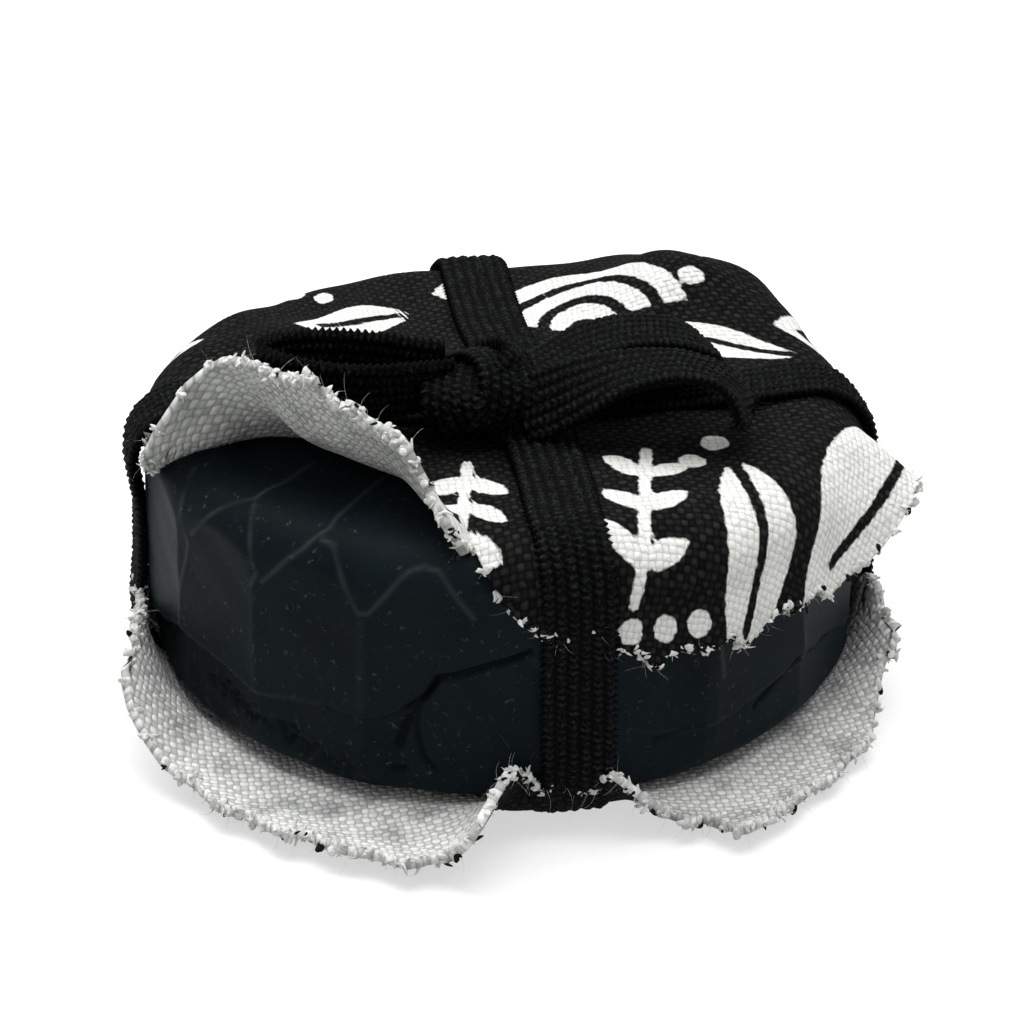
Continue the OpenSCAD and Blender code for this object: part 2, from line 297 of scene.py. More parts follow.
def loop_line(root, length, turn, rise, side):
    """Line and band direction of one drop-shaped loop on edge; side is -1 to the left, 1 to the right."""
    shape = ((-1.3, 0.35, 10, 0), (0.04, 0.8, 10, 0), (0.26, 1.9, 8, 0), (0.55, 2.7, 6, 0), (0.84, 2.1, 4, 0.1),
             (1, 0.2, 2, 0.1), (0.88, -1.7, 6, 0), (0.6, -2.7, 14, -0.2), (0.3, -2.2, 20, -0.5),
             (0.06, -1.0, 24, -0.7), (-1.3, -0.4, 24, -0.8))
    c, k = math.cos(math.radians(turn)), math.sin(math.radians(turn))
    climb = math.tan(math.radians(rise))
    points, across = [], []
    for along, out, lean, drop in shape:
        x = along * length if along > 0 else along
        points.append((root[0] + side * x * c, root[1] + out + x * k, root[2] + drop + max(x, 0) * climb))
        lean = math.radians(lean)
        across.append((side * -math.sin(math.radians(rise)), -math.sin(lean), math.cos(lean)))
    return points, across


KNOT_HALF, KNOT_Y, KNOT_Z = 4.6, -7, 27
knot_low, knot_high = box_mm("knot")
knot_mid = (knot_low + knot_high) / 2
left_x, right_x = knot_mid[0] - KNOT_HALF, knot_mid[0] + KNOT_HALF
left_root = (left_x, -7.1, 28.35)
left_loop_len = left_x - box_mm("left_bow_loop")[0][0] - 1.1
left_line, left_across = loop_line(left_root, left_loop_len, turn=2, rise=2, side=-1)
left_loop = elastic_piece("left_bow_loop_knit", [knit_band(left_line, left_across)], "left_bow_loop")
right_line = ((-1.6, -6.1, 27.3), (0.6, -5.7, 28.1), (3.4, -5.1, 29.2), (7, -4.6, 29.7), (10.5, -4.1, 29.4),
              (13, -3.7, 28.6), (14.5, -3.5, 27.5), (14.4, -3.5, 26.6), (12.5, -3.8, 25.95), (9, -4.3, 25.75),
              (5, -4.9, 25.85), (1.5, -5.5, 26.3), (-1.6, -6.1, 26.5))
right_line = [(right_x + 0.88 * x, y, z - 0.02 * x) for x, y, z in right_line]
right_across = [(-0.16, 0.98, 0.06 if i < 6 else -0.06) for i in range(13)]
right_loop = elastic_piece("right_bow_loop_knit", [knit_band(right_line, right_across)], "right_bow_loop")
tail_points = ((-2.8, -10.2, 26.3), (-0.9, -10.5, 27), (1.5, -10.9, 28.1), (4.5, -11.2, 29.2), (8, -11.5, 29.7),
               (11, -11.7, 29.1), (13, -12, 27.7), (13.9, -12.3, 25.6))
tail_points = [(right_x + x, y, z) for x, y, z in tail_points]
tail_across = ((-0.35, 0.55, 0.75), (-0.3, 0.65, 0.7), (-0.2, 0.8, 0.5), (-0.05, 0.97, 0.2), (0.08, 1, 0.03),
               (0.15, 0.98, -0.05), (0.25, 0.95, 0), (0.3, 0.93, 0.1))
right_tail = elastic_piece("right_tail_knit", [knit_band(tail_points, tail_across)], "right_tail")
left_end = ((-1.2, 0.2), (0, 0), (3, -0.1), (6, -0.3), (11, -0.4))
left_end = [(left_x - x, knot_mid[1] + 5.8 + 0.4 * x, 25.6 + z) for x, z in left_end]
left_tail = elastic_piece("left_tail_knit", [knit_band(left_end, [(0.37, 0.93, 0)] * 5)], "left_tail")
for piece, body, x, side in ((left_loop, "left_loop", left_x, -1), (right_loop, "right_loop", right_x, 1),
                             (right_tail, "right_end", right_x, 1), (left_tail, "left_end", left_x, -1)):
    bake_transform(piece)

# The same elastic goes round the parcel from front to back and from side to side. Below the
# base the two strands are pressed flat into each other; on top the second steps over the first.


def ring_line(low, high, corner, left_out, right_out):
    """Rounded-square line of a strand that goes round the parcel, in its own plane."""
    x0, x1, z0, z1 = low[0], high[0], low[1] + 0.66, high[1] - 0.5
    mid_x, mid_z = (x0 + x1) / 2, (z0 + z1) / 2
    line = []
    for cx, cz, start in ((x1 - corner, z0 + corner, 270), (x1 - corner, z1 - corner, 0),
                          (x0 + corner, z1 - corner, 90), (x0 + corner, z0 + corner, 180)):
        for i in range(5):
            a = math.radians(start + 22.5 * i)
            line.append((cx + corner * math.cos(a), cz + corner * math.sin(a)))
        if start in (0, 180):
            way = 1 if start == 0 else -1
            for k in (-0.75, -0.45, -0.15, 0.15, 0.45, 0.75):
                line.append((mid_x - way * k * ((x1 - x0) / 2 - corner), cz + way * corner))
        if start == 270:
            line += [(x1 + right_out * 0.7, mid_z - 2.5), (x1 + right_out, mid_z + 2.5)]
        if start == 90:
            line += [(x0 - left_out, mid_z + 2.5), (x0 - left_out * 0.7, mid_z - 2.5)]
    return line


low, high = box_mm("long_band")
ring = ring_line((low[1] + 0.5, low[2]), (high[1] - 0.7, high[2]), corner=5.2, left_out=-0.1, right_out=0)
tie_x = (low[0] + high[0]) / 2
long_points = [(tie_x + 0.25 * math.sin(0.35 * y), y, z) for y, z in ring]
long_knit = knit_band(long_points, [(1, 0, 0)] * len(ring), closed=True)
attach(elastic_piece("long_band_knit", [long_knit], "long_band"), "parcel")
low, high = box_mm("cross_band")
ring = ring_line((low[0] + 1.05, low[2]), (high[0] - 1.1, 24.4), corner=5.4, left_out=-0.5, right_out=0.1)


def ease(a, b, x):
    """From 0 at a to 1 at b, starting and ending softly."""
    t = np.clip((x - a) / (b - a), 0, 1)
    return t * t * (3 - 2 * t)


def step_over(x):
    """Height of the step that the strand takes over the first one on top."""
    return ELASTIC_T * (1 - ease(3.3, 6.3, abs(x - tie_x)))


CROSS_Y, LOWER_Z, UPPER_Z = -5, 3, 20
UNDER_RIGHT, UNDER_RISE, SPAN = 2.7, 5.6, 57
left_lead, right_lead = math.tan(math.radians(17)), math.tan(math.radians(5))
cross_points = []
for x, z in ring:
    # Above the base the strand leads to the back on both sides of the knot; below it runs straight.
    if z > LOWER_Z:
        y = max(0, knot_mid[0] - x) * left_lead + max(0, x - knot_mid[0]) * right_lead
    else:
        y = UNDER_RIGHT + UNDER_RISE * (SPAN / 2 - x) / SPAN
    cross_points.append((x, CROSS_Y + y + 0.2 * math.sin(0.3 * x), z + (step_over(x) if z > UPPER_Z else 0)))
cross_knit = knit_band(cross_points, [(0, 1, 0)] * len(ring), closed=True)
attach(elastic_piece("cross_band_knit", [cross_knit], "cross_band"), "parcel")

# The knot is two turns of the same elastic pulled tight over each other, and the length that
# comes up through them, bunched so that its ribs crowd together.


def knot_turn(shift, half_y, half_z, lean, tilt, width):
    """One tight turn of the elastic round the middle of the knot."""
    centre = knot_mid + shift
    lean, tilt = math.tan(math.radians(lean)), math.tan(math.radians(tilt))
    points, across = [], []
    for i in range(14):
        a = 2 * math.pi * i / 14
        y, z = half_y * math.cos(a), half_z * math.sin(a)
        points.append((centre[0] + tilt * z - lean * y, centre[1] + y, centre[2] + z))
        across.append((1, lean, -tilt + 0.25 * math.sin(2 * a)))
    return knit_band(points, across, closed=True, width=width)


# Each turn is its shift from the middle, half depth, half height, lean, tilt and width.
knot = elastic_piece("knot_knit", [
    knot_turn((-0.2, 0.1, 0.1), 3.5, 2.35, 16, 14, 5.6),
    knot_turn((-1.9, -0.5, -0.2), 3.1, 2.0, -24, -16, 5.0),
    knot_turn((0, 0, -0.3), 2.4, 1.4, 4, 60, 6.2)], "knot")
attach(knot, "parcel")

# The cake is cast rosin, near black and satin, with flats round its side. Thin ridges run
# where the flats meet, and the lower edge is chipped and cracked.
low, high = box_mm("rosin_cake")
cake_r, cake_z, cake_h = (high[0] - low[0]) / 2 + 0.1, low[2], high[2] - low[2]
low_r, top_r = 3.2, 4.5
quarter = math.pi / 2
# Each point of the profile is a radius, a height and the way that the surface faces there.
profile = [(r, 0, 0, -1) for r in (0.01, 8, 16, 21)]
profile += [(cake_r - low_r + low_r * math.sin(a), low_r - low_r * math.cos(a), math.sin(a), -math.cos(a))
            for a in np.linspace(0, quarter, 13)]
profile += [(cake_r, z, 1, 0) for z in np.linspace(low_r, cake_h - top_r, 66)[1:-1]]
profile += [(cake_r - top_r + top_r * math.cos(a), cake_h - top_r + top_r * math.sin(a), math.cos(a), math.sin(a))
            for a in np.linspace(0, quarter, 27)]
profile += [(r, cake_h, 0, 1) for r in list(np.linspace(cake_r - top_r, 13, 25)[1:]) + [11, 8, 4, 0.01]]
profile = np.array(profile)
OPEN_STEP, HIDDEN_STEP = 0.42, 2
turns = np.radians(np.concatenate([np.arange(178, 352, OPEN_STEP), np.arange(352, 538, HIDDEN_STEP)]))
rows, columns = len(profile), len(turns)


def spun(out, up):
    """The profile's values turned round the cake's axis, one row of three numbers for each vertex."""
    return np.stack([out[:, None] * np.cos(turns), out[:, None] * np.sin(turns),
                     np.repeat(up[:, None], columns, 1)], -1).reshape(-1, 3)


co, out_way = spun(profile[:, 0], profile[:, 1] + cake_z), spun(profile[:, 2], profile[:, 3])
index = np.arange(rows * columns).reshape(rows, columns)
beside = np.roll(index, -1, 1)
faces = np.stack([index[:-1], beside[:-1], beside[1:], index[1:]], -1).reshape(-1, 4).tolist()
cake = new_mesh("rosin_cake_cast", co, faces + [index[0][::-1].tolist(), index[-1].tolist()])
flats = ((190, 0.42), (210, 0.42), (229.5, 0.41), (251, 0.6), (281, 0.7), (306, 0.42), (327, 0.46), (347, 0.35))
for turn, cut in flats:
    face = np.array([math.cos(math.radians(turn)), math.sin(math.radians(turn)), 0])
    co = co - np.clip(co @ face - (cake_r - cut), 0, None)[:, None] * face
turn_at = np.degrees(np.arctan2(co[:, 1], co[:, 0])) % 360
on_side = np.clip((np.hypot(co[:, 0], co[:, 1]) - 22) / 3, 0, 1)


def near_line(points, width):
    """1 on a line of points on the cake's surface, falling to 0 over about its width."""
    best = np.full(len(co), 1e9)
    for p, q in zip(np.array(points, float), np.array(points[1:], float)):
        t = np.clip(((co - p) @ (q - p)) / ((q - p) @ (q - p)), 0, 1)
        gap = co - p - t[:, None] * (q - p)
        gap -= out_way * np.clip((gap * out_way).sum(1), -2, 2)[:, None]
        best = np.minimum(best, np.linalg.norm(gap, axis=1))
    return np.exp(-(best / width) ** 2)


ridges = (((-24.2, -7.4, 21.9), (-25.1, -10.8, 17.5), (-25.8, -9.2, 11.9), (-25.8, -9.0, 9.7)),
          ((-24.9, -11.2, 18.5), (-20.3, -13.9, 22.2), (-18, -12.1, 22.6), (-15.6, -9.2, 22.6)),
          ((-20.5, -14.5, 22), (-20.7, -17.9, 18.3), (-21, -17.5, 17.2)),
          ((-20.4, -18.2, 17.7), (-17.6, -19.8, 20.7), (-15.5, -19.4, 22.1), (-12.9, -15.5, 22.6),
           (-10.4, -12.1, 22.6)),
          ((-16.2, -20, 21.6), (-15.4, -20.8, 21.4), (-14, -23.5, 17.4), (-13.4, -23.8, 17.4), (-10.4, -24.4, 20.8),
           (-9.4, -24.5, 21.1), (-8.4, -25, 20.9), (-6.2, -26.6, 17.7)),
          ((12.2, -24.5, 12.9), (12.5, -24.3, 10.4)),
          ((19.5, -19.1, 12.6), (19.9, -18.8, 8.9)),
          ((-4, 27.1, 18), (-6, 26.7, 12), (-2, 27.2, 7)),
          ((14, 23.5, 17), (19, 19.7, 13)),
          ((26, 8.7, 15), (27.2, 2, 11)))
soft_edges = (((-21, -17.5, 17.2), (-21.3, -17.2, 10.9), (-21.1, -17.4, 9.1)),
              ((-13.9, -23.6, 16.9), (-13.9, -23.5, 9.6)))
RIDGE_W, SOFT_EDGE_W = 0.17, 0.3
RIDGE_HIGH, LEDGE_DEEP, CRACK_DEEP = 0.07, 0.55, 0.7
crease = np.zeros(len(co))
for line in ridges:
    crease = np.maximum(crease, near_line(line, RIDGE_W))
for line in soft_edges:
    crease = np.maximum(crease, 0.2 * near_line(line, SOFT_EDGE_W))
# Below the ledge the side is set back, and the main crack rises from it to the right.
ledge_turns = (170, 190, 199, 205, 212, 219, 223, 228, 233, 238, 242, 248, 251, 255, 259, 265, 275, 290, 300, 312,
               324, 335)
ledge_heights = (6, 8, 9.7, 9.2, 8.9, 8.2, 8.3, 8.7, 8.9, 8.6, 8.8, 10.5, 12.6, 13.0, 13.9, 15.2, 8, 6.5, 6.8, 8,
                 8.5, 7)
ledge_z = np.interp(turn_at, ledge_turns, ledge_heights)
ledge_deep = np.clip((turn_at - 165) / 15, 0, 1) * np.clip((345 - turn_at) / 15, 0, 1) * np.interp(
    turn_at, (190, 226, 232, 240, 246, 265, 275, 300), (1, 0.8, 0.35, 0.4, 0.7, 0.6, 0, 0.6))
ledge = np.clip((ledge_z - co[:, 2]) / 0.25, 0, 1) * ledge_deep
ledge_lip = np.exp(-((co[:, 2] - ledge_z - 0.1) / RIDGE_W) ** 2)
crease = np.maximum(crease, 0.5 * ledge_lip * ledge_deep * on_side)
# Each crack is a line, a width and a depth.
cracks = ((((-2.2, -27.3, 15.2), (-5.2, -26.8, 13.9), (-7.2, -26.4, 13), (-8.8, -25.9, 12.6), (-9.6, -25.6, 11.1),
            (-10.2, -25.4, 10.5), (-11, -25, 9.9)), 0.24, 0.9),
          (((-16.5, -21.8, 8.9), (-14.5, -23.2, 8.6), (-12.9, -24.1, 8.8), (-11, -25, 9.9)), 0.16, 0.35),
          (((-10.2, -25.4, 10.3), (-10.4, -25.3, 8.2), (-10, -25.5, 5.9), (-9, -25.8, 4.6)), 0.18, 0.5),
          (((-10.4, -25.3, 9.8), (-11, -25, 8.5), (-11.6, -24.8, 6.8)), 0.32, 0.6),
          (((-12, -24.6, 4.7), (-11.3, -24.9, 4.6)), 0.25, 0.6),
          (((10.9, -25.1, 6.8), (8.9, -25.9, 6.7), (7.4, -26.3, 6.3)), 0.17, 0.35),
          (((19.9, -18.7, 8.5), (21.2, -17.3, 8.1), (23.5, -14, 7.5)), 0.22, 0.5),
          (((19.3, -19.4, 8.6), (15.8, -22.3, 6.2)), 0.18, 0.4))
crack = np.zeros(len(co))
for line, wide, deep in cracks:
    crack = np.maximum(crack, deep * near_line(line, wide))
chance = random.Random(7)
pits, pit_count = np.zeros(len(co)), 170
rough_rim = np.array(((-24.5, -12.2, 6.8), (-21.9, -16.4, 6), (-19, -19.6, 5.3), (-17.2, -21.2, 4.4),
                      (-14.6, -23, 4.1)))
for i in range(pit_count):
    k = chance.uniform(0, 3.999)
    spot = rough_rim[int(k)] + (k - int(k)) * (rough_rim[int(k) + 1] - rough_rim[int(k)])
    spot = spot + [chance.gauss(0, 0.25), chance.gauss(0, 0.25), chance.gauss(0, 0.45)]
    size = chance.uniform(0.12, 0.3)
    pit = np.exp(-((co - spot) ** 2 / (size * np.array([1.3, 1.3, 0.7])) ** 2).sum(1)) * size * 1.6
    pits = np.maximum(pits, pit)
wave = 0.05 * np.sin(co[:, 0] * 0.7 + co[:, 2] * 0.5) * np.sin(co[:, 1] * 0.6 - co[:, 2] * 0.8)
move = RIDGE_HIGH * crease + (-LEDGE_DEEP * ledge - CRACK_DEEP * crack - pits + wave) * on_side
co = co + out_way * move[:, None]
cake.data.vertices.foreach_set("co", (co * MM).ravel())
cake.data.update()
# The ridge lines, the soft edges of the flats and the lip above the ledge are painted paler: painted highlight.
set_values(cake, "ridge", crease)
# The cracks and pits are painted near black: painted shade in them.
set_values(cake, "painted_crack_shade", np.clip((1.1 * crack + 1.3 * pits) * on_side, 0, 1))


def mixed(tree, factor, a, b, blend="MIX"):
    inputs = {"Factor": factor, "A": a, "B": b}
    return add_node(tree, "Mix", inputs, data_type="RGBA", blend_type=blend).outputs["Result"]


rosin_mat, tree, shader = material("cast_rosin", {"Specular IOR Level": 0.035})
at = object_place(tree)
cloud, dust = noise(tree, at, 120, 5), noise(tree, at, 1500, 4, roughness=0.7)
rosin_tone = ramp(tree, cloud, (0.3, (0.0046, 0.0080, 0.0098, 1)), (0.72, (0.0088, 0.0146, 0.0176, 1)))
rosin_tone = mixed(tree, ranged(tree, dust, 0.62, 0.72), rosin_tone, (0.05, 0.058, 0.062, 1))
# Paler ridge lines, flat edges and ledge lip: painted highlight.
ridge_painted_highlight = maths(tree, "MULTIPLY", attribute(tree, "ridge"), 0.6)
rosin_tone = mixed(tree, ridge_painted_highlight, rosin_tone, (0.045, 0.054, 0.059, 1))
# Cracks and pits painted near black: painted shade.
rosin_tone = mixed(tree, attribute(tree, "painted_crack_shade"), rosin_tone, (0.0012, 0.0016, 0.0019, 1))
feed(tree, shader, {"Base Color": rosin_tone, "Roughness": ranged(tree, cloud, 0, 1, 0.42, 0.62),
                    "Normal": bumped(tree, dust, 0.25, 0.00015)})
cake.data.materials.append(rosin_mat)
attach(cake, "parcel")
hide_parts("rosin_cake")

# The cloth is one strip of heavy plain-weave canvas with raw edges, printed on its outer face.
# It lies under the cake, goes up the back and over the top, and the elastic pinches it.
CLOTH_T, WEAVE = 0.7, 0.56
base_top = 0.95 + CLOTH_T
top_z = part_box("rosin_cake")[1][2] / MM + 0.15
wall_r, bend_r, low_bend = 27.65, 4.2, 3.35
bend_at = wall_r - bend_r
mid_s = bend_at + bend_r * math.pi / 2 + (top_z - base_top) / 2 - bend_r
fold_turn, fold_dist = math.radians(38.2), 25
LOW_HALF, LEFT_TOP_HALF, RIGHT_TOP_HALF = 31, 27.8, 32
# Keys by direction round the top: how far the cloth bends down, where it leaves the top of the
# cake, and how widely it bends. Then by direction round the base: how far it bends up.
droop_keys = ((0, 85), (90, 90), (180, 85), (183, 82), (186, 57), (189, 32), (192, 6), (196, -12), (200, -31),
              (206, -46), (213, -58), (220, -66), (228, -59), (236, -58), (243, -61), (248, -51), (251, -26),
              (253.5, -14), (257, 62), (262, 83), (270, 88), (290, 86), (302, 83), (318, 74), (328, 62), (335, 42),
              (340, 32), (345, 40), (350, 78), (355, 85), (360, 85))
leave_keys = ((0, 0.98), (15, 1.02), (35, 1.08), (60, 1.06), (80, 1), (182, 1), (186, 1.02), (190, 0.88),
              (195, 0.73), (200, 0.59), (206, 0.52), (213, 0.57), (228, 0.59), (236, 0.62), (243, 0.7), (250, 0.86),
              (256, 0.96), (262, 1), (340, 1), (360, 0.98))
soft_keys = ((0, 1.1), (15, 0.95), (35, 0.7), (60, 0.8), (80, 1), (185, 1), (190, 1.6), (195, 1.95), (200, 2.1),
             (220, 2.05), (228, 1.85), (236, 1.55), (243, 1.3), (250, 1.1), (258, 1), (340, 1), (360, 1.1))
rise_keys = ((0, 82), (20, 88), (90, 90), (160, 88), (180, 82), (190, 76), (200, 40), (212, 10), (225, 3), (250, 3),
             (256, 8), (261, 45), (265, 80), (270, 84), (275, 80), (279, 45), (284, 8), (290, 3), (315, 3),
             (328, 10), (340, 40), (350, 76), (360, 82))
# Keys by place across the strip: how far its upper and its lower front edge are from the middle.
edge_keys = ((-31, 3.5), (-27.8, 5.5), (-25, 14.4), (-20, 19.9), (-14.2, 22.7), (-11.4, 23.6), (-9.4, 24.1),
             (-7.5, 25.1), (-5.7, 25.5), (-2.75, 31.1), (0, 32), (5.3, 33.5), (12, 32.6), (17, 30.2), (21.5, 26.6),
             (26, 22), (29, 18.2), (30.5, 15), (32, 11.5), (34, 9))
lobe_keys = ((-31, 8), (-27, 18.5), (-20.6, 27), (-15, 31), (-10, 34), (-7, 34.6), (-5, 33), (-3.6, 30), (0, 29.3),
             (3, 29), (8, 29.6), (11.5, 31.2), (15, 31), (21.5, 24.8), (25.5, 18.8), (28, 14), (31, 9))


def keyed(x, keys, soft):
    """Value of the given keys at x, with their corners rounded off over a width of soft."""
    k, v = np.array(keys, float).T
    grid = np.linspace(k[0], k[-1], 721)
    line = np.interp(grid, k, v)
    w = max(1, int(soft * 720 / (k[-1] - k[0])))
    pad = np.concatenate([np.full(w, line[0]), line, np.full(w, line[-1])])
    kernel = np.hanning(2 * w + 3)[1:-1]
    line = np.convolve(pad, kernel / kernel.sum(), "valid")
    return np.interp(x, grid, line)


def bent(s, a, b, d):
    """Distance out and change of height at distance s along a sheet that bends by d degrees."""
    k, g = np.sign(d), np.abs(np.radians(d))
    arc = b * g
    t = np.clip(s - a, 0, arc) / b
    past = np.clip(s - a - arc, 0, None)
    return np.minimum(s, a) + b * np.sin(t) + past * np.cos(g), k * (b * (1 - np.cos(t)) + past * np.sin(g))


def past_fold(u, y):
    """Distance beyond the fold line of the lobe on that side, negative before it."""
    return np.abs(u) * math.sin(fold_turn) - y * math.cos(fold_turn) - fold_dist


def cloth_at(u, v):
    """Inner face of the strip: u across, v along it from the middle of the base, up the back, over the top."""
    out = []
    for y, low_side in ((v, True), (2 * mid_s - v, False)):
        s = np.where(y > 0, (u**4 + np.abs(y) ** 4) ** 0.25, np.hypot(u, y))
        f = np.degrees(np.arctan2(y, u)) % 360
        if low_side:
            rise = keyed(f, rise_keys, 4)
            r, h = bent(s, wall_r - low_bend, low_bend, rise)
            past = past_fold(u, y)
            free = (y < 0) * (1 - ease(8, 60, rise))
            sag = free * (-0.8 * ease(0.3, 6, past) + 0.012 * np.clip(past, 0, 12) ** 2)
            h = base_top + h + sag
        else:
            leave, soft, droop = keyed(f, leave_keys, 4), keyed(f, soft_keys, 4), keyed(f, droop_keys, 3)
            r, h = bent(s, bend_at * leave, bend_r * soft, droop)
            h = top_z - h
        out.append(np.stack([r * np.cos(np.radians(f)), r * np.sin(np.radians(f)), h], -1))
    w = ease(mid_s - 12, mid_s + 12, v)[..., None]
    return (1 - w) * out[0] + w * out[1]


def facing(u, v):
    """The way that the outer face of the strip looks."""
    e = 0.25
    return unit(np.cross(cloth_at(u, v + e) - cloth_at(u, v - e), cloth_at(u + e, v) - cloth_at(u - e, v)))


def ripple(u, v):
    """Slight unevenness of the cloth off its plain form."""
    slow = 0.16 * np.sin(0.35 * u + 0.21 * v) + 0.12 * np.sin(0.62 * u - 0.33 * v + 1)
    return slow + 0.08 * np.sin(0.9 * v + 0.5 * u + 2)


def swell(u, y, high, cu, cy, wide, long):
    """A rounded rise of the cloth round one place on top."""
    return high * np.exp(-(((u - cu) / wide) ** 2) - ((y - cy) / long) ** 2)


def cloth_out(u, v):
    """Outer face of the strip, which stands off the cake at its two back corners."""
    y = 2 * mid_s - v
    corner = swell(u, y, 4.2, 19, 17.5, 8, 7.5) + swell(u, y, 1.2, -20, 14, 7, 8)
    uneven = ripple(u, v) * (0.35 + 0.65 * ease(-6, 4, v))
    return cloth_at(u, v) + facing(u, v) * (CLOTH_T + corner + uneven)[..., None]


def frayed(x, seed):
    """How far the raw edge stands out at x: steps of a yarn or two on a slow wave."""
    steps = 1.05 * (speckle(np.floor(x / 1.1), x * 0 + seed) - 0.5)
    return steps + 0.85 * np.sin(1.1 * x + seed) * np.sin(0.43 * x + 2 * seed)


def low_edge(u):
    return -keyed(u, lobe_keys, 1.2) - frayed(u, 3)


def top_edge(u):
    return 2 * mid_s + keyed(u, edge_keys, 1.5) + frayed(u, 5)


def half_width(c, v):
    """Half width of the strip at v; c is -1 at its left edge and 1 at its right edge."""
    top = np.where(c < 0, 29.8 - 2 * ease(2 * mid_s - 10, 2 * mid_s, v), RIGHT_TOP_HALF)
    low = np.where(c < 0, 1.5, 0.4) * ease(-20, -13, v) * (1 - ease(2, 14, v))
    low = (low + np.where(c < 0, 1.7, 0) * np.exp(-(((v + 13.5) / 4.5) ** 2))) * np.abs(c) ** 3
    return LOW_HALF + (top - LOW_HALF) * ease(0.6 * mid_s, 1.6 * mid_s, v) + low


columns, strip_rows = 141, 297
bpy.ops.mesh.primitive_grid_add(x_subdivisions=columns - 1, y_subdivisions=strip_rows - 1, size=1)
cloth = bpy.context.object
cloth.name = "canvas_wrap"
spot = np.zeros(len(cloth.data.vertices) * 3)
cloth.data.vertices.foreach_get("co", spot)
spot = spot.reshape(-1, 3)
c, k = spot[:, 0] * 2, spot[:, 1] + 0.5
v0, v1 = low_edge(c * LOW_HALF), top_edge(c * np.where(c < 0, LEFT_TOP_HALF, RIGHT_TOP_HALF))
v = v0 + (v1 - v0) * k
u = c * half_width(c, v) + np.abs(c) ** 24 * np.sign(c) * frayed(v, 9)
cloth.data.vertices.foreach_set("co", (cloth_out(u, v) * MM).ravel())
uv = cloth.data.uv_layers[0] if cloth.data.uv_layers else cloth.data.uv_layers.new(name="flat")
uv.name = "flat"
set_flat(cloth, uv, np.stack([u, v], -1))


def leaf(x, y, cx, cy, length, width, lean):
    """Signed distance to a pointed leaf form, negative inside."""
    a = math.radians(lean)
    p = (x - cx) * math.cos(a) + (y - cy) * math.sin(a)
    q = np.abs(-(x - cx) * math.sin(a) + (y - cy) * math.cos(a))
    h, w = length / 2, width / 2
    d = (h * h - w * w) / (2 * w)
    return np.hypot(p, q + d) - (w + d)


def bar(x, y, x0, y0, x1, y1, width):
    """Signed distance to a bar with round ends."""
    dx, dy = x1 - x0, y1 - y0
    t = np.clip(((x - x0) * dx + (y - y0) * dy) / (dx * dx + dy * dy), 0, 1)
    return np.hypot(x - x0 - t * dx, y - y0 - t * dy) - width / 2


LINE_W, ARC_HALF, DOT_R = 0.9, 0.95, 1.05
leaves = ((27.5, -15, 25, 11, 64), (15.8, -24.5, 19, 6.4, 96), (-11, 16, 13, 5.5, 10), (17.5, 6, 15, 5.6, -24),
          (-23, 30, 18, 6.5, -70), (24, 27, 18, 6.5, 70), (-18, 58, 20, 7, 42), (18, 60, 20, 7, -42),
          (0, 72, 20, 7, 90), (-25, -4, 9, 3.4, 80))
arcs = ((9.5, 11.5), (-8, 29), (8, 41), (-9, 52))
lozenges = ((-12, -3, 2.6), (27, 8, 2.8), (-27, 14, 2.8), (0, 20, 2.6), (20, 44, 3), (-22, 44, 3))
sprigs = ((5.4, -29.5, 8.8, -13), (-4.6, -13, -7.2, -26.5), (12, 30, 16, 40))
dots = ((5.6, -31.6), (8.6, -31.2), (11.6, -30.4), (12, -14.5), (14.2, -12), (-13, 22), (-15.5, 24), (28, 14),
        (28, 18), (-28, 20), (3, 58), (0, 60), (-3, 58), (20, 14))


def print_at(u, y):
    """Distance to the nearest off-white motif on the printed face; y is measured from the middle of the top."""
    forms = []
    for cx, cy, long, wide, lean in leaves:
        a = math.radians(lean)
        along_x, along_y = long * math.cos(a), long * math.sin(a)
        rib = bar(u, y, cx - 0.3 * along_x, cy - 0.3 * along_y, cx + 0.5 * along_x, cy + 0.5 * along_y, LINE_W)
        forms.append(np.maximum(leaf(u, y, cx, cy, long, wide, lean), -rib))
    for cx, cy in arcs:
        ring = np.hypot(u - cx, y - cy)
        for r in (2.4, 5.4, 8.4):
            forms.append(np.maximum(np.abs(ring - r) - ARC_HALF, cy - y))
    for cx, cy, r in lozenges:
        lozenge = (np.abs(u - cx) / 0.75 + np.abs(y - cy)) * 0.6
        forms.append(np.abs(lozenge - r * 0.6) - 0.6)
    for x0, y0, x1, y1 in sprigs:
        forms.append(bar(u, y, x0, y0, x1, y1, LINE_W))
        lean = math.degrees(math.atan2(y1 - y0, x1 - x0))
        for t in (0.15, 0.45, 0.75):
            for turn in (-48, 48):
                a = math.radians(lean + turn)
                cx, cy = x0 + t * (x1 - x0) + 2.1 * math.cos(a), y0 + t * (y1 - y0) + 2.1 * math.sin(a)
                forms.append(leaf(u, y, cx, cy, 4.4, 1.9, lean + turn))
    for cx, cy in dots:
        forms.append(np.hypot(u - cx, y - cy) - DOT_R)
    return np.minimum.reduce(forms)


bpy.ops.object.mode_set(mode="EDIT")
bpy.ops.mesh.select_all(action="SELECT")
bpy.ops.mesh.flip_normals()
bpy.ops.object.mode_set(mode="OBJECT")
set_values(cloth, "motif", print_at(u, 2 * mid_s - v))
set_values(cloth, "along", v)

